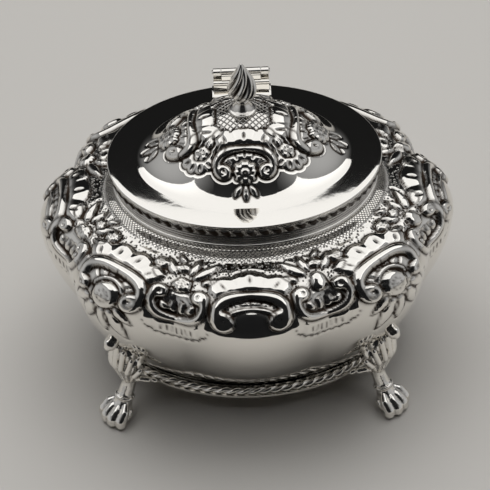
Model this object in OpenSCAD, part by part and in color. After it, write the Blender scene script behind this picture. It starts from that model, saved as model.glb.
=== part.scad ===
// Oval silver sugar bowl on four lion-paw feet, with a lid hinged at the back.
// Millimetres, +Z up, front towards -Y. The origin is on the table, under the middle.

/* [Body] */
// Half width of the body at its fullest
body_a = 65; // [62:0.5:68]
// Half depth of the body at its fullest
body_b = 55.5; // [53:0.5:56]
// Height of the fullest part of the body
bulge_z = 52; // [50:0.5:53]
// Depth of the valleys between the eight lobes, as a part of the radius
lobe_depth = 0.1; // [0:0.01:0.11]
// Thickness of the silver
sheet = 0.9; // [0.8:0.1:1.1]

/* [Neck and mouth] */
// Half width of the neck
neck_a = 39.6; // [39.2:0.1:39.9]
// Half depth of the neck
neck_b = 31.6; // [31.2:0.1:31.9]
// Height of the bottom of the neck, where the shoulder begins
neck_z = 67.3; // [66.5:0.1:67.5]

/* [Base] */
// Half width of the foot ring
base_a = 47.2; // [46:0.2:48]
// Half depth of the foot ring
base_b = 36.8; // [36:0.2:37.4]
// Height of the middle of the rope moulding
cable_z = 10.9; // [10.5:0.1:11.5]
// Radius of the rope moulding
cable_r = 1.2; // [1.1:0.05:1.3]

/* [Lid] */
// Half width of the lid
lid_a = 42; // [41.8:0.1:42.4]
// Half depth of the lid
lid_b = 34; // [33.8:0.1:34.2]
// Height of the lid's flat rim
lid_z = 77; // [76.8:0.1:77.2]
// Width of the lid's flat rim
lid_flat = 8; // [7.5:0.5:9]
// Rise of the lid's dome above its rim
dome_rise = 16.8; // [15:0.2:17.6]

/* [Hinge] */
// Distance of the pin behind the middle of the bowl
pin_y = 32.6; // [32.4:0.1:32.8]
// Height of the pin
pin_z = 83; // [82.9:0.1:83.6]
// Radius of the pin
pin_r = 0.6; // [0.5:0.05:0.7]
// Running clearance between the pin and the lid's knuckle
pin_gap = 0.05; // [0.03:0.01:0.08]
// Width of the hinge
hinge_w = 17.6; // [17:0.2:18]
// Length of each outer knuckle
knuckle_w = 2.5; // [2:0.1:3]
// Radius of the knuckles
knuckle_r = 1.25; // [1.2:0.05:1.3]

/* [Feet] */
// Distance of each paw to the side of the middle
paw_x = 43.8; // [43:0.1:44.5]
// Distance of each paw in front of the middle, or behind it
paw_y = 37.4; // [37:0.1:38]
// Width of a paw
paw_w = 10; // [9:0.5:11]

/* [Finial] */
// Height of the bud from its stem to its tip
bud_h = 13.2; // [12:0.2:14]
// Radius of the bud at its fullest
bud_r = 4.9; // [4.5:0.1:5.2]

/* [Hidden] */
silver = "silver";
around = 96;
wire_around = 72;
lobes = 8;
edge = 0.001;

mouth_z = lid_z - 1.25;
lid_t = 1;
body_bottom_z = cable_z + 1;
body_base_a = base_a - 0.6;
body_base_b = base_b - 0.6;
stud_r = 1.2;
stem_z = lid_z + dome_rise + 2.4;
bud_z = stem_z + 1.4;

// A cubic curve through its first and last points, at t from 0 to 1.
function bezier(p, t) =
    let (s = 1 - t)
    s * s * s * p[0] + 3 * s * s * t * p[1] + 3 * s * t * t * p[2] + t * t * t * p[3];

// How far a point lies inside a lobe's crest: 0 on the crest, 1 in the valley.
function valley(angle) = 1 - abs(cos(angle * lobes / 2));

// A point of an oval ring, given as [half width, half depth, height, lobe depth].
function oval_point(ring, angle) =
    let (k = 1 - ring[3] * valley(angle))
    [ring[0] * k * cos(angle), ring[1] * k * sin(angle), ring[2]];

// A wall swept round the oval. The profile is a closed loop of rings, anticlockwise seen from the front right.
module oval_wall(profile, n = around) {
    m = len(profile);
    points = [for (i = [0:n - 1]) for (ring = profile) oval_point(ring, i * 360 / n)];
    faces = [for (i = [0:n - 1]) for (j = [0:m - 1])
        let (a = i * m + j, b = i * m + (j + 1) % m,
            c = ((i + 1) % n) * m + (j + 1) % m, d = ((i + 1) % n) * m + j)
        each [[a, b, c], [a, c, d]]];
    polyhedron(points, faces, convexity = 10);
}

// A plain oval, and a flat oval band with upright sides.
module oval(a, b, n = wire_around) {
    polygon([for (i = [0:n - 1]) [a * cos(i * 360 / n), b * sin(i * 360 / n)]]);
}

module oval_band(a, b, z0, z1, t, n = wire_around) {
    translate([0, 0, z0]) linear_extrude(z1 - z0) difference() {
        oval(a, b, n);
        oval(a - t, b - t, n);
    }
}

// The body's profile: an S from the neck out to the bulge, then a round belly in to the foot ring.
shoulder = [[0, neck_z], [0, neck_z - 4], [1, neck_z - 0.2], [1, bulge_z]];
belly = [[1, bulge_z], [1, bulge_z - 12], [0.66, 27], [0, body_bottom_z]];

// Both curves run from 0 to 1 across the shoulder, and from 1 to 0 down the belly.
function shoulder_ring(t, inset) =
    let (p = bezier(shoulder, t), u = p[0])
    [neck_a + (body_a - neck_a) * u - inset, neck_b + (body_b - neck_b) * u - inset,
        p[1] - inset * 0.8 * sin(180 * t), lobe_depth * pow(u, 1.3)];

function belly_ring(t, inset) =
    let (p = bezier(belly, t), u = p[0])
    [body_base_a + (body_a - body_base_a) * u - inset, body_base_b + (body_b - body_base_b) * u - inset,
        p[1] + inset * 0.6 * sin(180 * t), lobe_depth * pow(u, 0.9)];

module body_shell() {
    outer = concat(
        [[neck_a, neck_b, mouth_z - 0.8, 0]],
        [for (t = [0:1 / 10:1]) shoulder_ring(t, 0)],
        [for (t = [1 / 9:1 / 9:1 + edge]) belly_ring(t, 0)]);
    inner = concat(
        [for (t = [1:-1 / 6:1 / 6 - edge]) belly_ring(t, sheet)],
        [for (t = [1:-1 / 7:-edge]) shoulder_ring(t, sheet)],
        [[neck_a - sheet, neck_b - sheet, mouth_z - 0.8, 0]]);
    color(silver) oval_wall(concat(outer, inner));
}

module base_plate() {
    color(silver) translate([0, 0, body_bottom_z]) linear_extrude(1)
        oval(body_base_a - sheet - 0.02, body_base_b - sheet - 0.02, around);
}

// A plain upright ring: the body sits on it and the rope moulding is soldered round it.
module base_rim() {
    color(silver) {
        oval_band(base_a + 2 * cable_r, base_b + 2 * cable_r, cable_z - cable_r - 0.8, cable_z - cable_r, 4);
        oval_band(base_a, base_b, cable_z - cable_r, body_bottom_z, 1.5);
    }
}

// The rope moulding, soldered round the outside of the ring.
module base_cable() {
    color(silver) oval_wall([for (q = [0:45:315])
        [base_a + cable_r * (1 + cos(q)), base_b + cable_r * (1 + cos(q)), cable_z + cable_r * sin(q), 0]],
        wire_around);
}

// A reeded wire soldered round the neck, with a bright fillet under it.
module neck_wire() {
    reed_z = lid_z - 5;
    color(silver) oval_wall([
        [neck_a - 0.05, neck_b - 0.05, neck_z + 0.4, 0],
        [neck_a + 0.9, neck_b + 0.9, neck_z + 0.4, 0],
        [neck_a + 1.3, neck_b + 1.3, neck_z + 0.9, 0],
        [neck_a + 0.9, neck_b + 0.9, neck_z + 1.5, 0],
        [neck_a + 0.6, neck_b + 0.6, neck_z + 1.8, 0],
        [neck_a + 0.9, neck_b + 0.9, reed_z, 0],
        [neck_a - 0.05, neck_b - 0.05, reed_z, 0]], wire_around);
}

// The tongue-pattern wire: it caps the neck and makes the seat that the lid closes on.
module mouth_moulding() {
    color(silver) oval_wall([
        [neck_a - 0.05, neck_b - 0.05, lid_z - 4.95, 0],
        [neck_a + 1.1, neck_b + 1.1, lid_z - 4.95, 0],
        [neck_a + 1.5, neck_b + 1.5, lid_z - 3.4, 0],
        [neck_a + 2.1, neck_b + 2.1, mouth_z - 0.6, 0],
        [neck_a + 1.9, neck_b + 1.9, mouth_z, 0],
        [neck_a - sheet, neck_b - sheet, mouth_z, 0],
        [neck_a - sheet, neck_b - sheet, mouth_z - 0.78, 0],
        [neck_a - 0.05, neck_b - 0.05, mouth_z - 0.78, 0]], wire_around);
}

module ball(x, y, z, r) {
    translate([x, y, z]) sphere(r = r, $fn = 14);
}

// One cast foot: a paw, a slim ankle, a shell-shaped knee against the body and a curled bud on top.
module foot() {
    reach = sqrt(paw_x * paw_x + paw_y * paw_y);
    color(silver) rotate(-atan2(paw_y, paw_x)) translate([reach, 0, 0]) {
        // Paw, with four toes over a flat sole.
        hull() {
            translate([-1, 0, 0]) cylinder(h = 1, r = paw_w * 0.44, $fn = 20);
            ball(-2.2, 0, 4.2, 3.2);
            ball(3, 0, 3.2, 2.6);
        }
        for (toe = [-1.5:1:1.5]) hull() {
            ball(3.8 - abs(toe) * 0.9, toe * 2.4, 2.2, 1.8);
            translate([3.4 - abs(toe) * 0.9, toe * 2.4, 0]) cylinder(h = 1, r = 1.3, $fn = 14);
        }
        // Ankle.
        hull() {
            ball(-2.4, 0, 5, 2.6);
            ball(-6.8, 0, 13, 2.1);
        }
        // Knee, spread like a shell.
        hull() {
            ball(-6.8, 0, 13, 2.3);
            ball(-2.8, 0, 31, 2.2);
            for (side = [-1, 1]) {
                ball(-8.4, side * 7.6, 21, 1.6);
                ball(-4.8, side * 4.8, 28, 1.7);
            }
        }
        // Curled bud at the top.
        ball(-0.4, 0, 34.2, 2.4);
    }
}

module foot_front_left() {
    mirror([1, 0, 0]) foot();
}

module foot_front_right() {
    foot();
}

module foot_back_left() {
    mirror([1, 0, 0]) mirror([0, 1, 0]) foot();
}

module foot_back_right() {
    mirror([0, 1, 0]) foot();
}

// The lid's dome: a hollow curve up from the flat rim, then a round crown to the stud's hole.
dome_a = lid_a - lid_flat;
dome_b = lid_b - lid_flat;
dome = [[1, 0], [0.78, 0], [0.55, 0.88], [0, 1]];

function dome_ring(t, drop, inset) =
    let (p = bezier(dome, t), u = p[0])
    [stud_r + 0.05 + (dome_a - inset - stud_r - 0.05) * u, stud_r + 0.05 + (dome_b - inset - stud_r - 0.05) * u,
        lid_z - drop + dome_rise * p[1], 0];

module lid() {
    color(silver) oval_wall(concat(
        [for (t = [1:-1 / 11:-edge]) dome_ring(t, lid_t, 0.7 * (1 - t))],
        [[lid_a - 0.5, lid_b - 0.5, lid_z - lid_t, 0],
            [lid_a, lid_b, lid_z - lid_t / 2, 0],
            [lid_a - 0.3, lid_b - 0.3, lid_z, 0]],
        [for (t = [0:1 / 11:1 + edge]) dome_ring(t, 0, 0)]), wire_around);
}

// A flange under the lid that drops into the mouth.
module lid_bezel() {
    color(silver) oval_band(neck_a - sheet - 0.75, neck_b - sheet - 0.75,
        lid_z - lid_t - 1.9, lid_z - lid_t + 0.02, 0.8);
}

module along_hinge(w) {
    translate([-w / 2, 0, 0]) rotate([90, 0, 90]) linear_extrude(w) children();
}

// The lid's half of the hinge: a foot on the flat rim, a stepped block, a rounded bar and the knuckle's web.
module hinge_lid_leaf() {
    back_y = pin_y - 0.1;
    bar_y = pin_y - 2.5;
    bar_r = 0.85;
    bar_z = lid_z + 3.45;
    color(silver) {
        along_hinge(hinge_w + 1) polygon([[pin_y - 5, lid_z - 0.02], [pin_y - 4.4, lid_z + 0.5],
            [pin_y - 3, lid_z + 0.8], [back_y, lid_z + 0.8], [back_y, lid_z - 0.02]]);
        along_hinge(hinge_w) polygon([[pin_y - 3.2, lid_z + 0.7], [pin_y - 2.9, bar_z - bar_r + 0.05],
            [back_y, bar_z - bar_r + 0.05], [back_y, lid_z + 0.7]]);
        along_hinge(hinge_w) union() {
            translate([bar_y, bar_z]) circle(r = bar_r, $fn = 32);
            translate([bar_y, bar_z - bar_r]) square([back_y - bar_y, 2 * bar_r]);
        }
        along_hinge(hinge_w - 2 * knuckle_w - 0.3) difference() {
            translate([pin_y - 2.4, bar_z]) square([2.3, pin_z - bar_z]);
            translate([pin_y, pin_z]) circle(r = knuckle_r - 0.02, $fn = 48);
        }
    }
}

// The bowl's half of the hinge: an upright plate behind the lid, with an arm to each outer knuckle.
module hinge_body_leaf() {
    plate_y = lid_b + 0.45;
    plate_t = 1.1;
    root_y = neck_b + 0.9;
    plate_top = pin_z - 2.2;
    color(silver) {
        along_hinge(hinge_w) polygon([[root_y, mouth_z - 2.6], [plate_y + plate_t, mouth_z - 2.6],
            [plate_y + plate_t, plate_top], [plate_y, plate_top], [plate_y, mouth_z - 0.3],
            [root_y, mouth_z - 0.9]]);
        for (side = [-1, 1])
            translate([side * (hinge_w - knuckle_w) / 2, 0, 0]) along_hinge(knuckle_w) difference() {
                polygon([[pin_y, pin_z - 0.1], [pin_y, pin_z - 1.2], [plate_y + 0.1, plate_top - 1.2],
                    [plate_y + plate_t, plate_top - 1.2], [plate_y + plate_t, plate_top],
                    [pin_y + 1.4, pin_z - 0.1]]);
                translate([pin_y, pin_z]) circle(r = knuckle_r - 0.02, $fn = 48);
            }
    }
}

// A short tube on the hinge's axis, from x0 to x1.
module knuckle(x0, x1, bore) {
    color(silver) translate([x0, pin_y, pin_z]) rotate([0, 90, 0]) difference() {
        cylinder(h = x1 - x0, r = knuckle_r, $fn = 48);
        translate([0, 0, -1]) cylinder(h = x1 - x0 + 2, r = bore, $fn = 48);
    }
}

module hinge_knuckle_left() {
    knuckle(-hinge_w / 2, -hinge_w / 2 + knuckle_w, pin_r + 0.01);
}

module hinge_knuckle_right() {
    knuckle(hinge_w / 2 - knuckle_w, hinge_w / 2, pin_r + 0.01);
}

module hinge_knuckle_lid() {
    end_x = hinge_w / 2 - knuckle_w - 0.1;
    knuckle(-end_x, end_x, pin_r + pin_gap);
}

// A wire through the three knuckles, with its ends spread into low heads.
module hinge_pin() {
    head_x = hinge_w / 2 + 0.02;
    color(silver) translate([0, pin_y, pin_z]) rotate([0, 90, 0]) rotate_extrude($fn = 48)
        polygon([[0, -head_x - 0.4], [0.7, -head_x - 0.4], [0.9, -head_x], [pin_r, -head_x],
            [pin_r, head_x], [0.9, head_x], [0.7, head_x + 0.4], [0, head_x + 0.4]]);
}

// A turned plinth and stem, shaped to sit on the dome.
module finial_plinth() {
    top = lid_z + dome_rise;
    color(silver) rotate_extrude($fn = 64) polygon([[stud_r + 0.02, top - 0.02], [3.6, top - 0.25], [4.1, top - 0.1],
        [4.1, top + 0.4], [2.4, stem_z - 0.3], [1.9, stem_z + 0.3], [1.9, bud_z], [stud_r + 0.02, bud_z]]);
}

// A bud with twisted flutes, drawn to a point.
module finial_bud() {
    steps = 12;
    flutes = 8;
    sides = 32;
    function bud_radius(t) = bud_r * pow(sin(180 * pow(t, 0.62)), 0.75) * (1 - 0.35 * t) + 0.3;
    points = [for (i = [0:steps]) let (t = i / steps) for (j = [0:sides - 1])
        let (q = j * 360 / sides, r = bud_radius(t) * (1 - 0.12 * sin(180 * t) * (1 - abs(cos(q * flutes / 2)))))
        [r * cos(q + 110 * t), r * sin(q + 110 * t), bud_z + bud_h * t]];
    walls = [for (i = [0:steps - 1]) for (j = [0:sides - 1])
        let (a = i * sides + j, b = i * sides + (j + 1) % sides)
        each [[a, a + sides, b + sides], [a, b + sides, b]]];
    bottom = [[for (j = [0:sides - 1]) j]];
    top = [[for (j = [sides - 1:-1:0]) steps * sides + j]];
    color(silver) difference() {
        polyhedron(points, concat(walls, bottom, top), convexity = 6);
        translate([0, 0, bud_z - 1]) cylinder(h = 5, r = stud_r + 0.02, $fn = 32);
    }
}

// The stud that pulls the finial down on the dome, and its nut inside the lid.
module finial_stud() {
    bottom_z = lid_z + dome_rise - lid_t - 3;
    color(silver) translate([0, 0, bottom_z]) cylinder(h = bud_z + 3.8 - bottom_z, r = stud_r, $fn = 32);
}

// The nut's top stays below the underside of the dome, which curves down from the stud's hole.
module finial_nut() {
    nut_r = 3;
    nut_h = 2;
    under_top = 0.36;
    color(silver) translate([0, 0, lid_z + dome_rise - lid_t - under_top - nut_h]) difference() {
        cylinder(h = nut_h, r = nut_r, $fn = 6);
        translate([0, 0, -1]) cylinder(h = nut_h + 2, r = stud_r + 0.02, $fn = 32);
    }
}

body_shell();
base_plate();
base_rim();
base_cable();
neck_wire();
mouth_moulding();
foot_front_left();
foot_front_right();
foot_back_left();
foot_back_right();
hinge_body_leaf();
hinge_knuckle_left();
hinge_knuckle_right();
hinge_pin();
lid();
lid_bezel();
hinge_lid_leaf();
hinge_knuckle_lid();
finial_plinth();
finial_bud();
finial_stud();
finial_nut();
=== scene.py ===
# A chased silver sugar bowl on four paw feet, with a hinged domed lid.
import math
import bmesh
import bpy
import numpy as np
from mathutils import Matrix, Vector


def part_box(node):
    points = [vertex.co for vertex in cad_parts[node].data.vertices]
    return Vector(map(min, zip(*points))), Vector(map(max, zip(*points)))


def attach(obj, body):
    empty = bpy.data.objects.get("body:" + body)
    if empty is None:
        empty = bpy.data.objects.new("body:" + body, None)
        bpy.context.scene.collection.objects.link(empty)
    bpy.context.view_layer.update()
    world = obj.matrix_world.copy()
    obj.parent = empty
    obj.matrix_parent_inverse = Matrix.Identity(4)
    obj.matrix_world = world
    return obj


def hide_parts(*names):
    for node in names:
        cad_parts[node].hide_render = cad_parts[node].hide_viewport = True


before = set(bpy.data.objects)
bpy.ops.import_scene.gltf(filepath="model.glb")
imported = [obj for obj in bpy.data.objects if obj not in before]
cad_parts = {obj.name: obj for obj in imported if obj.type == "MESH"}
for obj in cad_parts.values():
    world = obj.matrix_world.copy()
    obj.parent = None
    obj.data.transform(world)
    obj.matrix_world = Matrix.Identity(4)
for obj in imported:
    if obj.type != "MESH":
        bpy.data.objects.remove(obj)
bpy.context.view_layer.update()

# Camera: a long lens, looking down on the front at the height of a person at the table,
# and leaning a little to one side.
camera = bpy.data.objects.new("camera", bpy.data.cameras.new("camera"))
bpy.context.scene.collection.objects.link(camera)
camera_pitch, camera_lean, camera_away = math.radians(43.03), math.radians(-2.37), 0.55
camera_target = Vector((-0.00095, -0.00721, 0.045))
ahead = Vector((0, math.cos(camera_pitch), -math.sin(camera_pitch)))
camera.data.sensor_width = 36
camera.data.lens = 128.5
camera.matrix_world = (Matrix.Translation(camera_target - ahead * camera_away)
                       @ Matrix.Rotation(-camera_lean, 4, ahead)
                       @ ahead.to_track_quat("-Z", "Y").to_matrix().to_4x4())
bpy.context.scene.camera = camera


def linear(colour):
    """An sRGB hex colour as linear red, green, blue and alpha."""
    parts = [int(colour[i:i + 2], 16) / 255 for i in (1, 3, 5)]
    return [c / 12.92 if c <= 0.04045 else ((c + 0.055) / 1.055) ** 2.4 for c in parts] + [1]


def add(tree, kind, inputs=None, **settings):
    """One shader node with its settings; an input given as a socket is linked, and any other is set."""
    made = tree.nodes.new("ShaderNode" + kind)
    for name, value in settings.items():
        setattr(made, name, value)
    for name, value in (inputs or {}).items():
        if isinstance(value, bpy.types.NodeSocket):
            tree.links.new(value, made.inputs[name])
        else:
            made.inputs[name].default_value = value
    return made


def new_material(name):
    """An empty material, its tree and its output."""
    made = bpy.data.materials.new(name)
    made.use_nodes = True
    made.node_tree.nodes.clear()
    return made, made.node_tree, add(made.node_tree, "OutputMaterial")


# Floor: one plain sheet of pale matt card, the same colour all over, which runs on behind as the backdrop.
floor_mesh = bpy.data.meshes.new("floor")
bm = bmesh.new()
bmesh.ops.create_grid(bm, x_segments=8, y_segments=8, size=3)
bm.to_mesh(floor_mesh)
bm.free()
floor = bpy.data.objects.new("floor", floor_mesh)
bpy.context.scene.collection.objects.link(floor)
card, tree, output = new_material("matt_pale_card")
place = add(tree, "TexCoord")
fibre = add(tree, "TexNoise", {"Vector": place.outputs["Object"], "Scale": 900, "Detail": 3})
grain = add(tree, "Bump", {"Height": fibre.outputs["Fac"], "Strength": 0.05, "Distance": 0.0002})
paper = add(tree, "BsdfPrincipled", {"Base Color": linear("#C9C6C1"), "Roughness": 0.8,
                                     "Normal": grain.outputs["Normal"]})
tree.links.new(paper.outputs[0], output.inputs["Surface"])
floor_mesh.materials.append(card)


def soft_light(name, at, target, size, power):
    """A rectangular soft white light at a place, facing a target."""
    made = bpy.data.lights.new(name, "AREA")
    made.shape, made.size, made.size_y, made.energy = "RECTANGLE", size[0], size[1], power
    lamp = bpy.data.objects.new(name, made)
    lamp.location = at
    lamp.rotation_euler = (Vector(target) - Vector(at)).to_track_quat("-Z", "Y").to_euler()
    bpy.context.scene.collection.objects.link(lamp)
    return lamp


# Light: a wide soft light overhead and a little behind, in a dark room. The silver shows the light as white,
# the room as black and the card as pale grey.
# A smaller light, which the silver doesn't mirror, gives the bowl its shadow on the card.
soft_light("overhead_light", (0, 0.2, 0.95), (0, 0.2, 0), (1.7, 1.4), 7.6)
soft_light("table_light", (0, 0.22, 0.9), (0, -0.05, 0), (0.9, 0.7), 4.3).visible_glossy = False
bpy.context.scene.view_settings.view_transform = "Standard"
world = bpy.data.worlds.new("dark_room")
world.use_nodes = True
tree = world.node_tree
walls = add(tree, "SeparateXYZ", {0: add(tree, "TexCoord").outputs["Generated"]})
aside = add(tree, "Math", {0: walls.outputs["X"]}, operation="ABSOLUTE")
bright = add(tree, "MapRange", {"Value": aside.outputs[0], "From Min": 0.3, "From Max": 0.95, "To Min": 0.012,
                                "To Max": 0.52}, interpolation_type="SMOOTHSTEP")
tree.nodes["Background"].inputs["Color"].default_value = linear("#EDEEF0")
tree.links.new(bright.outputs[0], tree.nodes["Background"].inputs["Strength"])
bpy.context.scene.world = world
world.cycles_visibility.diffuse = False

# Dark card: a black screen close in front, which only the silver sees. It keeps the front of the bowl from
# washing out.
screen_mesh = bpy.data.meshes.new("dark_screen")
bm = bmesh.new()
bmesh.ops.create_grid(bm, x_segments=1, y_segments=1, size=0.5, matrix=Matrix.Translation((0, -0.113, 0.127))
                      @ Matrix.Rotation(math.pi / 2, 4, "X") @ Matrix.Diagonal((0.15, 0.25, 1, 1)))
bm.to_mesh(screen_mesh)
bm.free()
screen = bpy.data.objects.new("dark_screen", screen_mesh)
bpy.context.scene.collection.objects.link(screen)
screen.visible_camera = screen.visible_diffuse = screen.visible_shadow = False
black_card, tree, output = new_material("black_card")
cloth = add(tree, "BsdfPrincipled", {"Base Color": linear("#17181B"), "Roughness": 0.9})
tree.links.new(cloth.outputs[0], output.inputs["Surface"])
screen_mesh.materials.append(black_card)


# Body: one sheet of sterling silver, raised into eight lobes, chased from the front and worked from behind
# with scrolls, shells, flowers and leaves. The ground between them is matted with a fine round punch.
MM = 0.001
body_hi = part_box("body_shell")[1]
half_width, half_depth = body_hi.x / MM, body_hi.y / MM
neck = (39.6, 31.6)
foot_ring = (46.6, 36.2)
shoulder_curve = ((0, 67.3), (0, 63.3), (1, 67.1), (1, 52))
belly_curve = ((1, 52), (1, 40), (0.66, 27), (0, 11.9))
lobe_depth = 0.1
sheet_mm = 0.9


def curve(points, t):
    """A cubic curve through its first and last points."""
    points, t = np.array(points, float), np.asarray(t, float)[..., None]
    return ((1 - t) ** 3 * points[0] + 3 * (1 - t) ** 2 * t * points[1]
            + 3 * (1 - t) * t * t * points[2] + t ** 3 * points[3])


def profile_length(a, b, z):
    """Length down a profile from its first ring, in mm."""
    return np.concatenate([[0], np.cumsum(np.hypot(np.diff((a + b) / 2), np.diff(z)))])


steps = np.linspace(0, 1, 200)
upper, lower = curve(shoulder_curve, steps), curve(belly_curve, steps)[1:]
ring_a = np.r_[neck[0] + (half_width - neck[0]) * upper[:, 0],
               foot_ring[0] + (half_width - foot_ring[0]) * lower[:, 0]]
ring_b = np.r_[neck[1] + (half_depth - neck[1]) * upper[:, 0],
               foot_ring[1] + (half_depth - foot_ring[1]) * lower[:, 0]]
ring_z = np.r_[upper[:, 1], lower[:, 1]]
ring_lobe = lobe_depth * np.r_[upper[:, 0] ** 1.3, np.clip(lower[:, 0], 0, 1) ** 0.9]
ring_down = profile_length(ring_a, ring_b, ring_z)


def oval_grid(columns, rows_a, rows_b, rows_z, rows_lobe):
    """Points of a sheet swept round an oval with lobes: one row for each ring."""
    turn = np.linspace(0, 2 * math.pi, columns + 1)
    k = 1 - rows_lobe[:, None] * (1 - np.sqrt(0.97 * np.cos(4 * turn) ** 2 + 0.03))
    return turn, np.stack([rows_a[:, None] * k * np.cos(turn), rows_b[:, None] * k * np.sin(turn),
                           np.repeat(rows_z[:, None], columns + 1, 1)], -1)


def outward(points):
    """Unit normals of a grid of points whose rows run round the oval from the right and down."""
    around = np.roll(points[:, :-1], -1, 1) - np.roll(points[:, :-1], 1, 1)
    around = np.concatenate([around, around[:, :1]], 1)
    normal = np.cross(np.gradient(points, axis=0), around)
    return normal / np.maximum(np.linalg.norm(normal, axis=-1, keepdims=True), 1e-9)


def near(x, y, path):
    """Distance from each point to a path, and how far along the path that is, from 0 to 1."""
    best, where = np.full(x.shape, 1e9), np.zeros(x.shape)
    for i, ((x0, y0), (x1, y1)) in enumerate(zip(path, path[1:])):
        dx, dy = x1 - x0, y1 - y0
        t = np.clip(((x - x0) * dx + (y - y0) * dy) / max(dx * dx + dy * dy, 1e-9), 0, 1)
        d = np.hypot(x - x0 - t * dx, y - y0 - t * dy)
        closer = d < best
        best[closer] = d[closer]
        where[closer] = ((i + t) / (len(path) - 1))[closer]
    return best, where


def rounded(path):
    """The same path with its corners cut three times."""
    path = np.array(path, float)
    for _ in range(3):
        cut = np.stack([path[:-1] * 0.75 + path[1:] * 0.25, path[:-1] * 0.25 + path[1:] * 0.75], 1)
        path = np.concatenate([path[:1], cut.reshape(-1, 2), path[-1:]])
    return path


def volute(x, y, radius, start, turns):
    """A spiral about a centre, winding in from a start angle in degrees; turns below 0 wind the other way."""
    t = np.linspace(0, 1, 22)
    angle = np.radians(start + 360 * turns * t)
    r = radius * (1 - 0.72 * t)
    return np.stack([x + r * np.cos(angle), y + r * np.sin(angle)], -1)


class Chasing:
    """The relief on a sheet, in mm, worked up one punch at a time."""

    def __init__(self, shape):
        self.height = np.zeros(shape)
        self.worked = np.zeros(shape)
        self.cut = np.zeros(shape)

    def raise_to(self, amount, inside):
        self.height = np.where(inside, np.maximum(self.height, amount), self.height)
        self.worked = np.where(inside, 1, self.worked)

    def line(self, distance, width=0.42, depth=0.5):
        mark = np.exp(-(distance / width) ** 2)
        self.height -= depth * mark
        self.cut = np.maximum(self.cut, mark)

    def ridge(self, x, y, path, width, height, taper=0.6):
        """A half-round scroll with a chased line along each side."""
        d, t = near(x, y, path)
        w = width * (1 - (1 - taper) * np.abs(2 * t - 1) ** 3)
        self.line((d - w - 0.18) * (d > w * 0.5) + 9 * (d <= w * 0.5))
        self.raise_to(height * np.sqrt(np.clip(1 - (d / w) ** 2, 0, 1)) ** 0.9, d < w)

    def leaf(self, x, y, x0, y0, x1, y1, width, height=0.8):
        """A pointed leaf from its stalk to its tip, with a sunk middle vein and side veins."""
        length = math.hypot(x1 - x0, y1 - y0)
        ux, uy = (x1 - x0) / length, (y1 - y0) / length
        t = ((x - x0) * ux + (y - y0) * uy) / length
        side = (x - x0) * uy - (y - y0) * ux
        w = width * np.sin(np.pi * np.clip(t, 0, 1) ** 0.75) + 0.02
        inside = (t > 0) & (t < 1) & (np.abs(side) < w)
        edge = np.where((t > -0.03) & (t < 1.03), np.abs(side) - w, 9)
        self.line((edge - 0.18) * (edge > -0.3) + 9 * (edge <= -0.3))
        body = height * np.sqrt(np.clip(1 - (side / w) ** 2, 0, 1))
        body = body - 0.45 * np.exp(-(side / 0.28) ** 2)
        body = body - 0.12 * (1 + np.sin((t * length + np.abs(side) * 0.9) * 5)) * (np.abs(side) > 0.35)
        self.raise_to(body, inside)

    def flower(self, x, y, cx, cy, radius, petals, height=1.1, seeds=10):
        """An open flower: petals round a seeded eye."""
        r, angle = np.hypot(x - cx, y - cy), np.arctan2(y - cy, x - cx)
        notch = np.abs(np.cos(angle * petals / 2)) if petals else 1
        edge = radius * (0.84 + 0.16 * notch)
        self.line((r - edge - 0.2) * (r > edge - 0.3) + 9 * (r <= edge - 0.3))
        body = height * np.sqrt(np.clip(1 - (r / edge) ** 2, 0, 1)) ** 0.8
        if petals:
            body = body - 0.3 * (1 - notch) ** 2 * (r > radius * 0.45)
        ring = np.exp(-((r - radius * 0.38) / 0.42) ** 2) * (0.35 + 0.65 * np.cos(angle * seeds / 2) ** 2)
        body = body - 0.5 * ring
        body = body - 0.4 * np.exp(-(r / 0.35) ** 2)
        self.raise_to(body, r < edge)
        self.cut = np.where(r < edge, np.maximum(ring ** 2, np.exp(-(r / 0.4) ** 2)), self.cut)

    def shell(self, x, y, cx, cy, inner, outer, spread, lobes, height=0.75, drops=True):
        """A border of shell lobes, fanned upward about a centre, each with a drop-shaped punch mark."""
        r, angle = np.hypot(x - cx, y - cy), np.degrees(np.arctan2(cy - y, x - cx)) - 90
        part = (angle + spread) / (2 * spread) * lobes
        wave = np.abs(np.sin(np.pi * part))
        edge = outer * (0.9 + 0.1 * wave ** 0.55)
        inside = (np.abs(angle) < spread) & (r > inner) & (r < edge)
        near_arc = np.abs(angle) < spread + 1
        self.line(np.where(near_arc & (r > inner), r - edge - 0.2, 9), 0.34, 0.4)
        across = np.clip((r - inner) / (edge - inner), 0, 1)
        body = height * (0.35 + 0.65 * np.sin(np.pi * across ** 0.8)) * (0.55 + 0.45 * wave)
        if drops:
            middle = (part - np.floor(part) - 0.5) * 2 * spread / lobes * np.pi / 180 * r
            drop = (middle / 0.42) ** 2 + ((across - 0.5) * (outer - inner) / 1.1) ** 2
            body = body - 0.7 * np.exp(-drop)
            self.cut = np.where(inside, np.maximum(self.cut, np.exp(-drop)), self.cut)
        self.raise_to(body, inside)


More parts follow.
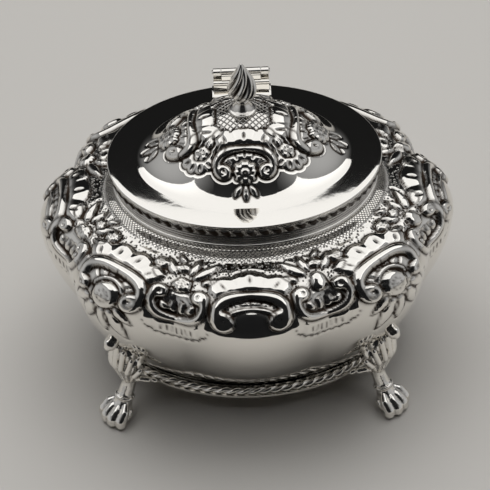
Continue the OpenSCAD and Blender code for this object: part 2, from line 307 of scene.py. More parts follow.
columns = 600
band = np.concatenate([np.linspace(0, 45.6, 109), np.linspace(47, ring_down[-1], 18)])
row_a, row_b, row_z, row_lobe = (np.interp(band, ring_down, q) for q in (ring_a, ring_b, ring_z, ring_lobe))
turn, outer = oval_grid(columns, row_a, row_b, row_z, row_lobe)
folded = np.abs((np.degrees(turn) + 270) % 360 - 180)
folded = np.minimum(folded, 180 - folded)
girth_angle = np.linspace(0, 90, 400)
girth_step = np.hypot(half_width * np.cos(np.radians(girth_angle)),
                      half_depth * np.sin(np.radians(girth_angle)))
girth = np.concatenate([[0], np.cumsum(np.radians(np.diff(girth_angle))
                                       * (girth_step[1:] + girth_step[:-1]) / 2)])
down = np.repeat(band[:, None], columns + 1, 1)
narrowing = (row_a / half_width)[:, None]
to_right = np.cos(turn)[None, :] >= 0
work = Chasing(down.shape)


def across(angle):
    """Distance round the body from a lobe's or valley's middle, in mm, positive towards the bowl's side."""
    return (np.interp(folded, girth_angle, girth) - np.interp(angle, girth_angle, girth))[None, :] * narrowing


# The ground sinks between the motifs, from the diaper under the neck down to the scrolls.
at_front, at_corner, at_side = across(0), across(45), -across(90)
at_valley = np.where(folded[None, :] < 45, across(21.5), -across(68.5))
ground = np.clip((down - 4.4) / 1.2, 0, 1) * np.clip((20.5 - down) / 1.5, 0, 1)
work.height -= 0.5 * ground

# Fluted skirts under the scrolls of the valleys, with a waved edge.
skirt_top = 24 + 6.2 * np.sqrt(np.clip(1 - (at_valley / 10.6) ** 2, 0, 1))
skirt_low = 30.2 + 7.6 * np.clip(1 - (at_valley / 11.2) ** 2, 0, 1) ** 0.6 + 0.45 * np.cos(at_valley * 2.6)
in_skirt = (np.abs(at_valley) < 10.9) & (down > skirt_top) & (down < skirt_low)
work.line(np.where(np.abs(at_valley) < 11.2, down - skirt_low - 0.1, 9), 0.46, 0.6)
for notch in range(-3, 4):
    d, _ = near(at_valley, down, [(notch * 1.7, 33.2 - abs(notch) * 0.25),
                                  (notch * 1.8, 35.4 - abs(notch) * 0.45)])
    work.line(d, 0.3, 0.35)
fan = at_valley / (1 + 0.03 * (down - 30))
flutes = 0.25 + 0.65 * np.abs(np.cos(fan * np.pi / 1.7)) * (np.abs(at_valley) < 7)
work.raise_to(flutes * np.clip((skirt_low - down) / 1.2, 0, 1) ** 0.5, in_skirt)

# Sprays over the valleys: pointed leaves, a rose, and a bud.
for x0, y0, x1, y1, width in ((-2.6, 14.4, -8.8, 6.4, 1.7), (3.2, 13.6, 7.4, 6.8, 1.5),
                              (-1.2, 13, -2.4, 5.6, 1.3), (-5.6, 15.6, -10.2, 12.2, 1.2),
                              (6, 15.4, 10.4, 13.2, 1.2), (1.6, 8.6, 4.4, 4.8, 0.9)):
    work.leaf(at_valley, down, x0, y0, x1, y1, width)
work.flower(at_valley, down, 1.6, 10.4, 2.1, 5, 0.9, 6)
work.flower(at_valley, down, 8.8, 9.8, 2.4, 6, 0.9, 6)

# Shells over the scrolls of the lobes.
work.shell(at_front, down, 0, 25.4, 9.5, 16.3, 57, 3)
work.shell(at_side, down, 0, 25.4, 9.5, 16.3, 57, 3)
work.shell(at_corner, down, -1, 26, 10.6, 17.7, 56, 4)

# Sunk fields inside the scrolls, then the scrolls themselves.
field = ((at_valley / 8.4) ** 2 + ((down - 24.6) / 5.2) ** 2) < 1
work.height = np.where(field & (down > 20), -0.45, work.height)
for x0, y0, x1, y1 in ((-3.4, 27.6, -5.4, 23.6), (-1, 28.6, -1.6, 23.4), (1.6, 28.6, 2, 23.4),
                       (3.6, 27.6, 5.6, 24)):
    work.leaf(at_valley, down, x0, y0, x1, y1, 1.1, 0.45)
half_scroll = [(0, 17.7), (4.2, 18.1), (8, 19.7), (10.4, 22.6), (10.9, 25.2)]
right_volute = volute(8.4, 26.0, 2.5, -15, 1.35)
for lobe in (at_front, at_side):
    inside_arch = (np.abs(lobe) < 9.6) & (down > 18.4) & (down < 21.4 + (lobe / 7) ** 2 * 1.4)
    work.height = np.where(inside_arch, -0.25, work.height)
    work.ridge(lobe, down, np.r_[[(0, 22)], rounded([(1.5, 22), (4, 22.6), (6.6, 24.2)])], 0.55, 0.5)
    for tick in (0, 2.9, 5.7):
        lean = tick * 0.16
        d, _ = near(lobe, down, [(tick - lean * 0.4, 21.1 + tick * 0.12),
                                 (tick + lean * 0.4, 19.5 + tick * 0.2)])
        work.line(d, 0.3, 0.5)
    work.ridge(lobe, down, np.r_[rounded(half_scroll), right_volute], 1.6, 1.25)
u_scroll = [(0, 30.1), (4.6, 29.4), (7.8, 27), (8.8, 23.6), (8.4, 20.9)]
u_right = np.r_[rounded(u_scroll), volute(6.4, 20.9, 2.0, -10, -1.15)]
work.ridge(np.abs(at_valley), down, u_right, 1.25, 1.1)

# The corner lobes: a round scroll with a ticked band, a flower under it and leaves hanging towards the foot.
band_in = np.hypot(at_corner + 1.6, down - 26)
sunk = (band_in < 9.4) & (down < 27)
work.height = np.where(sunk, -0.3, work.height)
for angle in (-146, -120, -95, -70, -45):
    a = math.radians(angle)
    d, _ = near(at_corner, down, [(-1.6 + 6.3 * math.cos(a), 26 + 6.3 * math.sin(a)),
                                  (-1.6 + 8 * math.cos(a), 26 + 8 * math.sin(a))])
    work.line(d, 0.34, 0.55)
inner_arc = [(-2 + 5.5 * math.cos(math.radians(q)), 26.2 + 5.5 * math.sin(math.radians(q)))
             for q in range(-165, -14, 10)]
work.ridge(at_corner, down, inner_arc, 0.6, 0.55)
for x0, y0, x1, y1, width in ((-3.6, 30.4, -8.6, 43.2, 2.3), (-1.4, 30.8, -1.6, 41.5, 2.1),
                              (1.8, 30, 6.2, 39.6, 2.2), (3.4, 28.6, 10.4, 33.2, 2.0),
                              (-5.8, 29.4, -11.2, 35.2, 1.5)):
    work.leaf(at_corner, down, x0, y0, x1, y1, width, 0.75)
corner_path = np.r_[volute(-10.3, 26, 2.6, 170, -1.3)[::-1],
                    rounded([(-12.8, 24.6), (-12.2, 21.6), (-9.4, 18.9), (-5, 17.3), (0, 16.9), (4.6, 17.5),
                             (7.8, 19.9), (8.7, 23), (8.3, 25.3)]), volute(6.8, 25.9, 1.6, -10, 1.0)]
work.ridge(at_corner, down, corner_path, 1.65, 1.3, 0.5)

# The corner lobes' flowers: a daisy to the right, and a plain seeded disc to the left.
daisy = to_right & (np.abs(at_corner) < 30)
keep = work.height.copy(), work.worked.copy(), work.cut.copy()
work.flower(at_corner, down, -2.2, 26.3, 4.4, 13, 1.2, 9)
with_daisy = work.height, work.worked, work.cut
work.height, work.worked, work.cut = keep
work.flower(at_corner, down, -2.0, 26.3, 4.4, 0, 1.35, 9)
work.height, work.worked, work.cut = (np.where(daisy, a, b) for a, b in zip(
    with_daisy, (work.height, work.worked, work.cut)))

# Flowers held in the valleys' scrolls: a seeded flower to the left, and a plain bud in a cup to the right.
keep = work.height.copy(), work.worked.copy(), work.cut.copy()
work.flower(at_valley, down, 0.2, 17.4, 3.1, 5, 1.1, 8)
seeded = work.height, work.worked, work.cut
work.height, work.worked, work.cut = keep
work.leaf(at_valley, down, 0.4, 22, 0.2, 13.6, 2.6, 1.3)
r = np.hypot(at_valley - 0.2, (down - 17) * 0.9)
work.raise_to(1.25 * np.sqrt(np.clip(1 - (r / 2.4) ** 2, 0, 1)), r < 2.4)
work.height, work.worked, work.cut = (np.where(to_right, a, b) for a, b in zip(
    (work.height, work.worked, work.cut), seeded))


def smoothed(values, times):
    """A grid of values averaged with its neighbours; its first and last columns are the same line."""
    for _ in range(times):
        ring = values[:, :-1]
        ring = (ring * 2 + np.roll(ring, 1, 1) + np.roll(ring, -1, 1)) / 4
        edge = np.pad(ring, ((1, 1), (0, 0)), "edge")
        ring = (edge[1:-1] * 2 + edge[:-2] + edge[2:]) / 4
        values = np.concatenate([ring, ring[:, :1]], 1)
    return values


def hollows(height, cut):
    """Where tarnish stays after polishing: in chased lines, and where the relief lies low."""
    return np.clip((smoothed(height, 10) - height) * 1.2, 0, 1) * 0.8 + 0.95 * cut


def sheet_object(name, points, marks, pattern=None):
    """A mesh from a grid of points in mm, made by bending a flat grid, with named values at its points and
    the places that a cut pattern follows as its UV map."""
    rows, cols = points.shape[0] - 1, points.shape[1] - 1
    grid = bmesh.new()
    bmesh.ops.create_grid(grid, x_segments=cols, y_segments=rows, size=0.5)
    layers = {key: grid.verts.layers.float.new(key) for key in marks}
    flat = grid.loops.layers.uv.new("flat")
    for vert in grid.verts:
        i, j = round((vert.co.x + 0.5) * cols), round((vert.co.y + 0.5) * rows)
        for loop in vert.link_loops:
            loop[flat].uv = (i / cols, j / rows) if pattern is None else pattern[j, i]
        vert.co = points[j, i] * MM
        for key, layer in layers.items():
            vert[layer] = marks[key][j, i]
    bmesh.ops.remove_doubles(grid, verts=grid.verts, dist=2e-7)
    bmesh.ops.recalc_face_normals(grid, faces=grid.faces)
    for face in grid.faces:
        face.smooth = True
    mesh = bpy.data.meshes.new(name)
    grid.to_mesh(mesh)
    grid.free()
    made = bpy.data.objects.new(name, mesh)
    bpy.context.scene.collection.objects.link(made)
    return made


def stand_for(piece, node, body, material):
    """Gives a piece its material, puts it on its body and hides the CAD node that it stands for."""
    if not piece.data.materials:
        piece.data.materials.append(material)
    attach(piece, body)
    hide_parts(node)


relief = smoothed(work.height, 1) * np.clip((ring_down[-1] - down) / 5, 0, 1)
diaper = np.clip((down - 0.6) / 0.5, 0, 1) * np.clip((5.2 - down) / 0.8, 0, 1)
matting = ground * (1 - smoothed(work.worked, 1))
chased = outer + outward(outer) * relief[..., None]
chased[..., 0] = np.clip(chased[..., 0], -half_width, half_width)
chased[..., 1] = np.clip(chased[..., 1], -half_depth, half_depth)
inner_rows = np.linspace(len(band) - 1, 0, 15).astype(int)
inner = (outer - outward(outer) * sheet_mm)[inner_rows]
neck_top = outer[:1].copy()
neck_top[..., 2] = body_hi.z / MM
neck_in = inner[-1:].copy()
neck_in[..., 2] = body_hi.z / MM
shell_points = np.concatenate([neck_top, chased, inner, neck_in, neck_top])


def with_inside(values):
    """The outside's values, and none on the neck and the inside."""
    blank = np.zeros((1, columns + 1))
    return np.concatenate([blank, values, np.zeros((len(inner), columns + 1)), blank, blank])


# The diaper's lines cross 196 times round the neck, 1.2 mm apart.
body_pattern = np.stack([with_inside(np.repeat(turn[None, :] * 196 / (2 * math.pi), len(band), 0)),
                         with_inside(down / 1.2)], -1)
body = sheet_object("body_silver", shell_points, {
    "matting": with_inside(matting), "diaper": with_inside(diaper),
    "hollow": with_inside(hollows(relief, work.cut))}, body_pattern)


def silver(name, tarnish, roughness, wear_mm, wear_depth, dark="#3B3129"):
    """Sterling silver with tarnish left in its hollows and fine polishing marks. Returns the material, its
    tree and the nodes that a chased sheet adds to."""
    made, tree, output = new_material(name)
    place = add(tree, "TexCoord")
    hollow = add(tree, "Attribute", attribute_name="hollow")
    cloud = add(tree, "TexNoise", {"Vector": place.outputs["Object"], "Scale": 160, "Detail": 4})
    patch = add(tree, "MapRange", {"Value": cloud.outputs["Fac"], "From Min": 0.3, "From Max": 0.75,
                                   "To Min": 0.65, "To Max": 1.25})
    amount = add(tree, "Math", {0: hollow.outputs["Fac"], 1: patch.outputs[0]}, operation="MULTIPLY")
    amount = add(tree, "Math", {0: amount.outputs[0], 1: tarnish}, operation="MULTIPLY", use_clamp=True)
    colour = add(tree, "Mix", {"Factor": amount.outputs[0], "A": linear("#F1EEE8"), "B": linear(dark)},
                 data_type="RGBA")
    dull = add(tree, "MapRange", {"Value": amount.outputs[0], "To Min": roughness, "To Max": 0.42})
    marks = add(tree, "TexNoise", {"Vector": place.outputs["Object"], "Scale": 1000 / wear_mm, "Detail": 3})
    worn = add(tree, "Bump", {"Height": marks.outputs["Fac"], "Strength": 0.6, "Distance": wear_depth * MM})
    metal = add(tree, "BsdfPrincipled", {"Base Color": colour.outputs["Result"], "Metallic": 1.0,
                                         "Roughness": dull.outputs[0], "Normal": worn.outputs["Normal"]})
    tree.links.new(metal.outputs[0], output.inputs["Surface"])
    return made, tree, place, amount, colour, worn, metal


# Chased sterling silver: mirror bright on the raised work, matted and hatched on the ground, and brown
# in the lines.
chased_silver, tree, place, amount, colour, worn, metal = silver(
    "chased_sterling_silver", 1.0, 0.045, 3.2, 0.012)
matted = add(tree, "Attribute", attribute_name="matting")
hatched = add(tree, "Attribute", attribute_name="diaper")
# Punched dots about 0.9 mm apart.
dots = add(tree, "TexVoronoi", {"Vector": place.outputs["Object"], "Scale": 1100, "Randomness": 0.8},
           feature="F1")
dot_wall = add(tree, "MapRange", {"Value": dots.outputs["Distance"], "From Min": 0.12, "From Max": 0.42})
dot_height = add(tree, "Math", {0: dot_wall.outputs[0], 1: matted.outputs["Fac"]}, operation="MULTIPLY")
# Two sets of engraved lines that cross.
flat_place = add(tree, "SeparateXYZ", {0: add(tree, "UVMap", uv_map="flat").outputs["UV"]})
line_sets = []
for side in ("ADD", "SUBTRACT"):
    slanted = add(tree, "Math", {0: flat_place.outputs["X"], 1: flat_place.outputs["Y"]}, operation=side)
    phase = add(tree, "Math", {0: slanted.outputs[0], 1: math.pi}, operation="MULTIPLY")
    wave = add(tree, "Math", {0: phase.outputs[0]}, operation="SINE")
    line_sets.append(add(tree, "Math", {0: wave.outputs[0]}, operation="ABSOLUTE"))
crossed = add(tree, "Math", {0: line_sets[0].outputs[0], 1: line_sets[1].outputs[0]}, operation="MINIMUM")
crossed = add(tree, "MapRange", {"Value": crossed.outputs[0], "From Min": 0.08, "From Max": 0.5})
hatch_height = add(tree, "Math", {0: crossed.outputs[0], 1: hatched.outputs["Fac"]}, operation="MULTIPLY")
both = add(tree, "Math", {0: dot_height.outputs[0], 1: hatch_height.outputs[0]}, operation="ADD")
punched = add(tree, "Bump", {"Height": both.outputs[0], "Strength": 1.0, "Distance": 0.0002,
                             "Normal": worn.outputs["Normal"]})
tree.links.new(punched.outputs["Normal"], metal.inputs["Normal"])
dot_dark = add(tree, "Math", {0: 1.0, 1: dot_wall.outputs[0]}, operation="SUBTRACT")
ground_dark = add(tree, "Math", {0: matted.outputs["Fac"], 1: dot_dark.outputs[0]}, operation="MULTIPLY")
line_dark = add(tree, "Math", {0: 1.0, 1: crossed.outputs[0]}, operation="SUBTRACT")
line_dark = add(tree, "Math", {0: line_dark.outputs[0], 1: hatched.outputs["Fac"]}, operation="MULTIPLY")
line_dark = add(tree, "Math", {0: line_dark.outputs[0], 1: 0.55, 2: ground_dark.outputs[0]},
                operation="MULTIPLY_ADD")
total = add(tree, "Math", {0: amount.outputs[0], 1: line_dark.outputs[0]}, operation="ADD", use_clamp=True)
tree.links.new(total.outputs[0], colour.inputs["Factor"])
stand_for(body, "body_shell", "bowl", chased_silver)

# Polished sterling silver: plain turned and filed parts, mirror bright with hardly any tarnish.
polished_silver = silver("polished_sterling_silver", 0.8, 0.05, 3, 0.004)[0]
# Cast sterling silver: a slightly pitted skin, bright on its high parts, with brown tarnish in its flutes.
cast_silver = silver("cast_sterling_silver", 1.3, 0.13, 0.8, 0.03)[0]
# Drawn silver wire: finely scored along its length by the plate, and dark between its reeds and strands.
wire_silver = silver("drawn_silver_wire", 1.3, 0.12, 0.7, 0.015)[0]


# Lid: a second chased silver sheet, a broad flat mirror rim rising in a hollow curve to a dome. Its front and
# back carry a scroll with a seeded flower, its sides a longer scroll, and its crown a cut basket ground.
lid_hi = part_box("lid")[1]
lid_a, lid_b = lid_hi.x / MM, lid_hi.y / MM
lid_z, dome_a, dome_b, dome_rise, stud_hole = 77.0, 34.0, 26.0, 16.8, 1.25
dome_curve = curve(((1, 0), (0.78, 0), (0.55, 0.88), (0, 1)), np.linspace(1, 0, 200))
dome_ring_a = stud_hole + (dome_a - stud_hole) * dome_curve[:, 0]
dome_ring_b = stud_hole + (dome_b - stud_hole) * dome_curve[:, 0]
dome_ring_z = lid_z + dome_rise * dome_curve[:, 1]
dome_down = profile_length(dome_ring_a, dome_ring_b, dome_ring_z)
lid_columns = 520
lid_band = np.linspace(0, dome_down[-1], 104)
lid_rows = [np.interp(lid_band, dome_down, q) for q in (dome_ring_a, dome_ring_b, dome_ring_z)]
lid_turn, dome = oval_grid(lid_columns, *lid_rows, np.zeros(len(lid_band)))
lid_folded = np.abs((np.degrees(lid_turn) + 270) % 360 - 180)
lid_folded = np.minimum(lid_folded, 180 - lid_folded)
lid_girth_step = np.hypot(dome_a * np.cos(np.radians(girth_angle)), dome_b * np.sin(np.radians(girth_angle)))
lid_girth = np.concatenate([[0], np.cumsum(np.radians(np.diff(girth_angle))
                                           * (lid_girth_step[1:] + lid_girth_step[:-1]) / 2)])
fall = np.repeat(lid_band[:, None], lid_columns + 1, 1)


def on_dome(angle):
    """Distance round the dome from an angle off its front, in mm."""
    along = np.interp(lid_folded, girth_angle, lid_girth) - np.interp(angle, girth_angle, lid_girth)
    return along[None, :] * (lid_rows[0] / dome_a)[:, None]


crown = Chasing(fall.shape)
dome_front, dome_quarter, dome_side = on_dome(0), on_dome(40), -on_dome(90)
basket = np.clip((fall - 2) / 0.6, 0, 1) * np.clip((12.5 - fall) / 1.2, 0, 1)
crown.height -= 0.25 * basket
for x0, y0, x1, y1, width in ((-5.2, 17.4, -3.4, 12.4, 1.2), (4.8, 16.8, 4.4, 11.8, 1.2),
                              (0, 16.6, 0.4, 11.2, 1.4)):
    crown.leaf(dome_quarter, fall, x0, y0, x1, y1, width, 0.6)
crown.shell(dome_quarter, -fall, 0.4, -17.6, 2.6, 6.9, 68, 5, 0.55)
crown.flower(dome_quarter, fall, 0.4, 17.8, 2.4, 5, 0.8, 6)
for lobe, size in ((dome_front, 1), (dome_side, 1.12)):
    crown.shell(lobe / size, fall, 0, 20, 7.6, 13.3, 52, 3, 0.65)
    inside_arch = (np.hypot(lobe / size, fall - 20.4) < 6.6) & (fall < 23)
    crown.height = np.where(inside_arch, -0.25, crown.height)
    for angle in (-150, -120, -90, -60, -30):
        a = math.radians(angle)
        d, _ = near(lobe / size, fall, [(4.7 * math.cos(a), 21.3 + 4.7 * math.sin(a)),
                                        (5.9 * math.cos(a), 21 + 5.9 * math.sin(a))])
        crown.line(d, 0.28, 0.45)
    crown.flower(lobe / size, fall, 0, 21.7, 3.8, 9, 1.05, 9)
    dome_scroll = [(0, 13.9), (3.5, 14.3), (6.6, 15.9), (8.4, 18.4), (8.7, 20.8)]
    crown.ridge(lobe / size, fall, np.r_[rounded(dome_scroll), volute(6.5, 21.6, 2.1, -15, 1.3)], 1.25, 1.05)
    for x0, y0, x1, y1, width in ((0, 26, 0.2, 31.4, 0.9), (-1.2, 26, -3.4, 30.2, 0.9),
                                  (1.2, 26, 3.6, 30.2, 0.9)):
        crown.leaf(lobe / size, fall, x0, y0, x1, y1, width, 0.25)
lid_relief = smoothed(crown.height, 1) * np.clip((dome_down[-1] - fall) / 3, 0, 1)
basket *= 1 - smoothed(crown.worked, 1)
dome_chased = dome + outward(dome) * lid_relief[..., None]
rim_rows = [(dome_a + 2, dome_b + 2, lid_z - 0.03), (lid_a - 4, lid_b - 4, lid_z - 0.07),
            (lid_a - 2, lid_b - 2, lid_z - 0.12), (lid_a - 0.35, lid_b - 0.35, lid_z - 0.18),
            (lid_a - 0.1, lid_b - 0.1, lid_z - 0.26), (lid_a, lid_b, lid_z - 0.48),
            (lid_a - 0.1, lid_b - 0.1, lid_z - 0.8),
            (lid_a - 0.45, lid_b - 0.45, lid_z - 1), (dome_a, dome_b, lid_z - 1)]
rim = oval_grid(lid_columns, *(np.array(q) for q in zip(*rim_rows)), np.zeros(len(rim_rows)))[1]
under = (dome - outward(dome) * 0.9)[np.linspace(len(lid_band) - 1, 0, 14).astype(int)]
lid_points = np.concatenate([dome_chased, rim, under, dome_chased[:1]])


def on_crown(values):
    """The dome's values, and none on the rim and underneath."""
    return np.concatenate([values, np.zeros((len(rim) + len(under), lid_columns + 1)), values[:1]])


lid = sheet_object("lid_silver", lid_points, {
    "matting": on_crown(np.zeros(fall.shape)), "diaper": on_crown(basket),
    "hollow": on_crown(hollows(lid_relief, crown.cut))}, lid_points[..., :2] / 1.9)
stand_for(lid, "lid", "lid", chased_silver)


# Rope moulding: two round silver wires twisted together and soldered round the foot ring.
cable_lo, cable_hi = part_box("base_cable")
rope_z, rope_r, turns_round = (cable_lo.z + cable_hi.z) / 2 / MM, 1.2, 42
rope_turn = np.linspace(0, 2 * math.pi, 1009)
tube_turn = np.linspace(0, 2 * math.pi, 9)
rope_a, rope_b = cable_hi.x / MM - rope_r, cable_hi.y / MM - rope_r
facing = np.stack([rope_b * np.cos(rope_turn), rope_a * np.sin(rope_turn)], -1)
facing /= np.linalg.norm(facing, axis=1, keepdims=True)
for strand, name in ((0, "rope_strand_one"), (math.pi, "rope_strand_two")):
    lay = turns_round * rope_turn + strand
    out = 0.44 * np.cos(lay)[None, :] + 0.76 * np.cos(tube_turn)[:, None]
    up = 0.44 * np.sin(lay)[None, :] + 0.76 * np.sin(tube_turn)[:, None]
    points = np.stack([rope_a * np.cos(rope_turn)[None, :] + out * facing[:, 0],
                       rope_b * np.sin(rope_turn)[None, :] + out * facing[:, 1], rope_z + up], -1)
    inside = np.clip(1 - np.hypot(out, up) / 1.0, 0, 1) * 1.3
    twisted = sheet_object(name, points, {"hollow": inside})
    stand_for(twisted, "base_cable", "bowl", wire_silver)


# Neck wire: a drawn silver wire of fine reeds over a bright fillet, soldered round the neck.
reeds = np.linspace(0, 1, 34)
fillet = [(0, 67.72), (0.85, 67.72), (1.15, 67.85), (1.3, 68.2), (1.15, 68.55), (0.85, 68.72)]
reeded = [(0.5 + 0.38 * abs(math.sin(math.pi * 3.5 * t)) + 0.02 * t, 68.75 + 3.2 * t) for t in reeds]
section = np.array(fillet + reeded + [(0, 71.99), (0, 67.72)])
wire_points = oval_grid(260, neck[0] + section[:, 0], neck[1] + section[:, 0], section[:, 1],
                        np.zeros(len(section)))[1]
sunk = np.zeros(len(section))
sunk[len(fillet):len(fillet) + len(reeds)] = (1 - np.abs(np.sin(np.pi * 3.5 * reeds))) ** 0.8
wire = sheet_object("neck_reeding", wire_points, {"hollow": np.repeat(sunk[:, None], 261, 1)})
stand_for(wire, "neck_wire", "bowl", wire_silver)


# Mouth moulding: a stamped wire of slanted tongues that caps the neck and carries the lid.
tongues, per_tongue = 68, 12
face_steps = np.linspace(0, 1, 22)
mouth_section = np.array([(-0.05, 72.05)] + [(0.82 + 1.0 * t, 72.05 + 3.1 * t) for t in face_steps]
                         + [(2.1, 75.3), (2.05, 75.6), (1.9, 75.75), (-0.9, 75.75), (-0.9, 74.97),
                            (-0.05, 74.97), (-0.05, 72.05)])
mouth_turn, mouth_points = oval_grid(tongues * per_tongue, neck[0] + mouth_section[:, 0],
                                     neck[1] + mouth_section[:, 0], mouth_section[:, 1],
                                     np.zeros(len(mouth_section)))
up_face = np.clip(face_steps, 0, 1)[:, None]
tongue_at = (tongues * mouth_turn[None, :] / (2 * math.pi) + 0.35 * up_face) % 1 - 0.5
tongue_half = 0.42 * np.sqrt(np.clip(1 - np.clip((0.5 - up_face) / 0.42, 0, 1) ** 2, 0, 1))
lip = np.exp(-((np.abs(tongue_at) - tongue_half) / 0.06) ** 2)
pit = (np.clip(1 - np.abs(tongue_at) / np.maximum(tongue_half, 0.02), 0, 1) ** 0.5
       * (np.abs(tongue_at) < tongue_half))
fade = np.clip(up_face / 0.08, 0, 1) * np.clip((1 - up_face) / 0.1, 0, 1)
mouth_height = np.zeros(mouth_points.shape[:2])
mouth_height[1:1 + len(face_steps)] = (0.42 * lip - 0.55 * pit - 0.18) * fade
mouth_hollow = np.zeros(mouth_points.shape[:2])
mouth_hollow[1:1 + len(face_steps)] = np.clip(pit * 1.3 + 0.5 * (1 - 1.6 * lip), 0, 1) * fade
mouth_points = mouth_points + outward(mouth_points) * np.minimum(mouth_height, 0.24)[..., None]
mouth = sheet_object("mouth_tongues", mouth_points, {"hollow": mouth_hollow})
stand_for(mouth, "mouth_moulding", "bowl", wire_silver)


# Foot ring, its plate and the lid's bezel, hinge and nut: plain polished silver with softened edges.
def softened(node, edge_mm):
    """A copy of a CAD node with its triangles joined, smooth faces and a small round on its edges."""
    copy = bmesh.new()
    copy.from_mesh(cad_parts[node].data)
    bmesh.ops.remove_doubles(copy, verts=copy.verts, dist=1e-6)
    bmesh.ops.dissolve_limit(copy, angle_limit=math.radians(0.5), verts=copy.verts, edges=copy.edges)
    bmesh.ops.recalc_face_normals(copy, faces=copy.faces)
    mesh = bpy.data.meshes.new(node + "_silver")
    copy.to_mesh(mesh)
    copy.free()
    mesh.polygons.foreach_set("use_smooth", [True] * len(mesh.polygons))
    mesh.set_sharp_from_angle(angle=math.radians(35))
    made = bpy.data.objects.new(node + "_silver", mesh)
    bpy.context.scene.collection.objects.link(made)
    if edge_mm:
        rounded_edge = made.modifiers.new("rounded_edge", "BEVEL")
        rounded_edge.width, rounded_edge.segments = edge_mm * MM, 2
        rounded_edge.limit_method, rounded_edge.angle_limit = "ANGLE", math.radians(35)
        rounded_edge.harden_normals = True
    return made


for node, owner, edge_mm in (("base_rim", "bowl", 0.12), ("base_plate", "bowl", 0), ("lid_bezel", "lid", 0.1),
                             ("hinge_body_leaf", "bowl", 0.15), ("hinge_lid_leaf", "lid", 0.15),
                             ("hinge_knuckle_left", "bowl", 0.12), ("hinge_knuckle_right", "bowl", 0.12),
                             ("hinge_knuckle_lid", "lid", 0.12), ("hinge_pin", "bowl", 0.05),
                             ("finial_stud", "lid", 0.1), ("finial_nut", "lid", 0.15)):
    stand_for(softened(node, edge_mm), node, owner, polished_silver)


# Feet: four castings, each a lion's paw and slim ankle under a fluted shell knee, with a curled bud on top.
# The knee is soldered to the body.
def mark_hollows(mesh, rounds, gain):
    """Stores how far each point lies in a hollow, so that tarnish can gather there."""
    count = len(mesh.vertices)
    co, normal = np.empty(count * 3), np.empty(count * 3)
    ends = np.empty(len(mesh.edges) * 2, int)
    mesh.vertices.foreach_get("co", co)
    mesh.vertices.foreach_get("normal", normal)
    mesh.edges.foreach_get("vertices", ends)
    co, normal, ends = co.reshape(-1, 3), normal.reshape(-1, 3), ends.reshape(-1, 2)
    both_ways = np.concatenate([ends, ends[:, ::-1]])
    number = np.bincount(both_ways[:, 0], minlength=count).clip(1)
    length = np.linalg.norm(co[ends[:, 0]] - co[ends[:, 1]], axis=1).mean()
    middle = np.stack([np.bincount(both_ways[:, 0], co[both_ways[:, 1], k], count) for k in range(3)], -1)
    deep = ((middle / number[:, None] - co) * normal).sum(1) / length
    for _ in range(rounds):
        deep = (deep + np.bincount(both_ways[:, 0], deep[both_ways[:, 1]], count) / number) / 2
    mesh.attributes.new("hollow", "FLOAT", "POINT").data.foreach_set("value", np.clip(deep * gain, 0, 1))


def lump(grid, at, size):
    """One ball of the casting's pattern, in mm."""
    bmesh.ops.create_icosphere(grid, subdivisions=3, radius=1,
                               matrix=Matrix.Translation(Vector(at)) @ Matrix.Diagonal((*size, 1)))


def limb(grid, path, radii, count):
    """Balls along a path, close enough to make one tapering form."""
    path, radii = np.array(path, float), np.array(radii, float)
    along = np.linspace(0, 1, len(path))
    for t in np.linspace(0, 1, count):
        r = np.interp(t, np.linspace(0, 1, len(radii)), radii)
        bmesh.ops.create_icosphere(grid, subdivisions=2, radius=r, matrix=Matrix.Translation(
            Vector([np.interp(t, along, path[:, k]) for k in range(3)])))


foot_grid = bmesh.new()
lump(foot_grid, (-1.0, 0, 2.9), (4.2, 4.9, 2.9))
lump(foot_grid, (-2.2, 0, 5.0), (3.2, 3.6, 2.8))
for toe in (-1.5, -0.5, 0.5, 1.5):
    tip, side, size = 3.3 - abs(toe) * 1.0, toe * 2.7, 2.25 - abs(toe) * 0.25
    limb(foot_grid, [(-1.8, toe * 1.7, 6.4), (tip - 1.9, side * 0.96, 5.1), (tip, side, 3.0),
                     (tip + 0.1, side, size)], [1.0, 1.5, size, size], 14)
for q in range(0, 360, 10):
    a = math.radians(q)
    lump(foot_grid, (-3.7 + 2.5 * math.cos(a), 2.7 * math.sin(a), 8.3 + 0.9 * math.cos(a)), (0.6, 0.6, 0.6))
limb(foot_grid, [(-2.6, 0, 5.5), (-4.1, 0, 9), (-5.8, 0, 12.5), (-6.8, 0, 15.8)], [3.1, 2.55, 2.4, 2.7], 24)
lump(foot_grid, (-6.8, 0, 21.5), (5.1, 5.4, 6.2))
lump(foot_grid, (-5.8, 0, 27), (3.7, 4.4, 4.6))
for flute in range(9):
    a = math.radians(-84 + flute * 21)
    top = (-9.2 + 6.5 * math.cos(a) ** 0.8, 7.4 * math.sin(a), 16.2 + 14.6 * math.cos(a))
    middle = (-6.8 + 5.5 * math.cos(a), 6.0 * math.sin(a), 18 + 5.5 * math.cos(a))
    limb(foot_grid, [(-5.8 + 2 * math.cos(a), 2.5 * math.sin(a), 15.2), middle, top], [0.5, 0.92, 0.95], 36)
for side in (-1, 1):
    limb(foot_grid, [(-6, side * 2.2, 15.2), (-7.2, side * 4.4, 16.8), (-8.8, side * 6.8, 17.4),
                     (-10.2, side * 8.2, 16.4)], [0.65, 0.65, 0.7, 0.75], 30)
curl = [(-0.9 + (1.75 - 0.08 * q) * math.cos(math.radians(-150 + q * 62)), 0,
         33.9 + (1.75 - 0.08 * q) * math.sin(math.radians(-150 + q * 62))) for q in range(7)]
limb(foot_grid, curl, [1.15, 1.3, 1.35, 1.3, 1.2, 1.0, 0.8], 26)
for side in (-1.2, 1.2):
    lump(foot_grid, (-0.8, side, 33.9), (1.6, 1.0, 1.6))
foot_pattern = bpy.data.meshes.new("foot_pattern")
foot_grid.to_mesh(foot_pattern)
foot_grid.free()
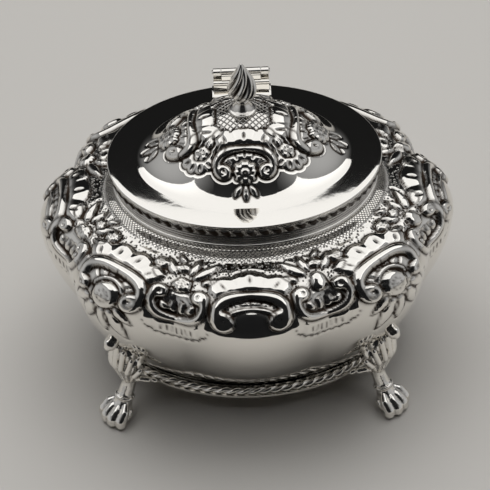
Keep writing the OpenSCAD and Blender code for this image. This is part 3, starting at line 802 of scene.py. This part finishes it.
pattern = bpy.data.objects.new("foot_pattern", foot_pattern)
bpy.context.scene.collection.objects.link(pattern)
joined = pattern.modifiers.new("joined", "REMESH")
joined.mode, joined.voxel_size = "VOXEL", 0.24
eased = pattern.modifiers.new("eased", "SMOOTH")
eased.factor, eased.iterations = 0.5, 2
cast = bpy.data.meshes.new_from_object(pattern.evaluated_get(bpy.context.evaluated_depsgraph_get()))
bpy.data.objects.remove(pattern)
foot_reach, foot_angle = math.hypot(43.8, 37.4), math.atan2(-37.4, 43.8)
for name, mirror_x, mirror_y in (("foot_front_right", 1, 1), ("foot_front_left", -1, 1),
                                 ("foot_back_right", 1, -1), ("foot_back_left", -1, -1)):
    mesh = cast.copy()
    mesh.name = name + "_cast"
    mesh.transform(Matrix.Diagonal((mirror_x, mirror_y, 1, 1)) @ Matrix.Scale(MM, 4)
                   @ Matrix.Rotation(foot_angle, 4, "Z") @ Matrix.Translation((foot_reach, 0, 0)))
    foot_mesh = bmesh.new()
    foot_mesh.from_mesh(mesh)
    for vert in foot_mesh.verts:
        vert.co.z = max(vert.co.z, 0)
    bmesh.ops.recalc_face_normals(foot_mesh, faces=foot_mesh.faces)
    for face in foot_mesh.faces:
        face.smooth = True
    foot_mesh.to_mesh(mesh)
    foot_mesh.free()
    mark_hollows(mesh, 2, 3.4)
    foot = bpy.data.objects.new(name + "_cast", mesh)
    bpy.context.scene.collection.objects.link(foot)
    stand_for(foot, name, "bowl", cast_silver)


# Finial: a cast bud with deep twisted flutes drawn to a point, on a turned plinth with a flat rim.
# A stud through the dome's crown and a nut inside hold both down.
bud_lo, bud_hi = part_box("finial_bud")
bud_z, bud_tip = bud_lo.z / MM, bud_hi.z / MM
bud_steps = np.linspace(0, 1, 70)[:, None]
bud_turn = np.linspace(0, 2 * math.pi, 129)[None, :]
bud_radius = 4.95 * np.sin(np.pi * bud_steps ** 0.62) ** 0.75 * (1 - 0.35 * bud_steps) + 0.05
wind = bud_turn - 1.9 * bud_steps
groove = (1 - np.abs(np.cos(wind * 4))) * np.sin(np.pi * np.clip(bud_steps, 0, 1) ** 0.8)
bud_r = bud_radius * (1 - 0.34 * groove)
bud_points = np.stack([bud_r * np.cos(bud_turn), bud_r * np.sin(bud_turn),
                       bud_z + (bud_tip - bud_z) * bud_steps + 0 * bud_turn], -1)
bud_points[0, :, :2] = 0
bud_points[-1, :, :2] = 0
bud = sheet_object("finial_bud_cast", bud_points, {"hollow": np.clip(groove * 1.4 - 0.35, 0, 1)})
stand_for(bud, "finial_bud", "lid", cast_silver)

turned = bmesh.new()
outline = [(1.24, 93.75), (3.6, 93.5), (4.0, 93.6), (4.1, 93.85), (4.02, 94.1), (3.8, 94.2), (3.3, 94.35),
           (2.7, 95.0), (2.2, 95.9), (1.85, 96.3), (1.75, 96.7), (1.9, 97.0), (1.8, 97.3), (1.5, 97.6),
           (1.24, 97.6)]
ring = [turned.verts.new((r * MM, 0, z * MM)) for r, z in outline]
strip = [turned.edges.new(pair) for pair in zip(ring, ring[1:] + ring[:1])]
bmesh.ops.spin(turned, geom=ring + strip, cent=(0, 0, 0), axis=(0, 0, 1), angle=2 * math.pi, steps=72,
               use_merge=True)
bmesh.ops.remove_doubles(turned, verts=turned.verts, dist=1e-6)
bmesh.ops.recalc_face_normals(turned, faces=turned.faces)
for face in turned.faces:
    face.smooth = True
plinth_mesh = bpy.data.meshes.new("finial_plinth_turned")
turned.to_mesh(plinth_mesh)
turned.free()
mark_hollows(plinth_mesh, 1, 1.5)
plinth = bpy.data.objects.new("finial_plinth_turned", plinth_mesh)
bpy.context.scene.collection.objects.link(plinth)
stand_for(plinth, "finial_plinth", "lid", cast_silver)
